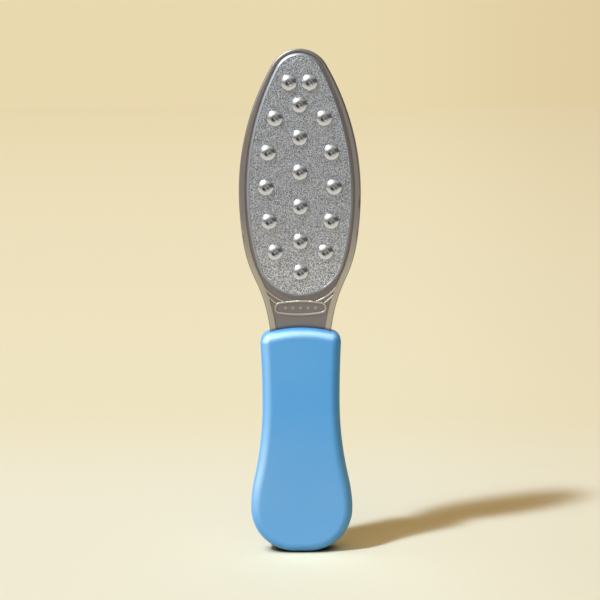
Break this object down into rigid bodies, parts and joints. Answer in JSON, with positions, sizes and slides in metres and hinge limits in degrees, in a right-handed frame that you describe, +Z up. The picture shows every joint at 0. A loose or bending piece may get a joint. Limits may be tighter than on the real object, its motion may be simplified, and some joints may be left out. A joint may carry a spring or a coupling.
{
  "type": "foot file",
  "caption": "Double-sided foot file: an egg-shaped cast head with abrasive plates and domed studs on both faces, on a slim neck in a flat moulded handle with a round end.",
  "frame": {"origin": "middle of the flat foot at the end of the handle, under the centre of the tool's bounding box", "axes": "+Z up along the tool from the handle to the head's tip, -Y out of the fine face that the picture shows, +X to the right in that view"},
  "size_m": [0.0544, 0.015, 0.228],
  "materials": {
    "cast_metal": "satin, tumbled casting",
    "fine_abrasive": "nickel with a fine pebbled grain",
    "coarse_abrasive": "nickel with a coarse pebbled grain",
    "stud_metal": "polished",
    "handle_plastic": "satin blue, moulded",
    "bond_film": "adhesive film",
    "pin_steel": "plain"
  },
  "bodies": {
    "root": {"head_frame": "cast_metal", "fine_plate": "fine_abrasive", "coarse_plate": "coarse_abrasive", "fine_bond_film": "bond_film", "coarse_bond_film": "bond_film", "front_studs": "stud_metal", "rear_studs": "stud_metal", "handle_front_shell": "handle_plastic", "handle_rear_shell": "handle_plastic", "tang_pins": "pin_steel"}
  },
  "joints": []
}
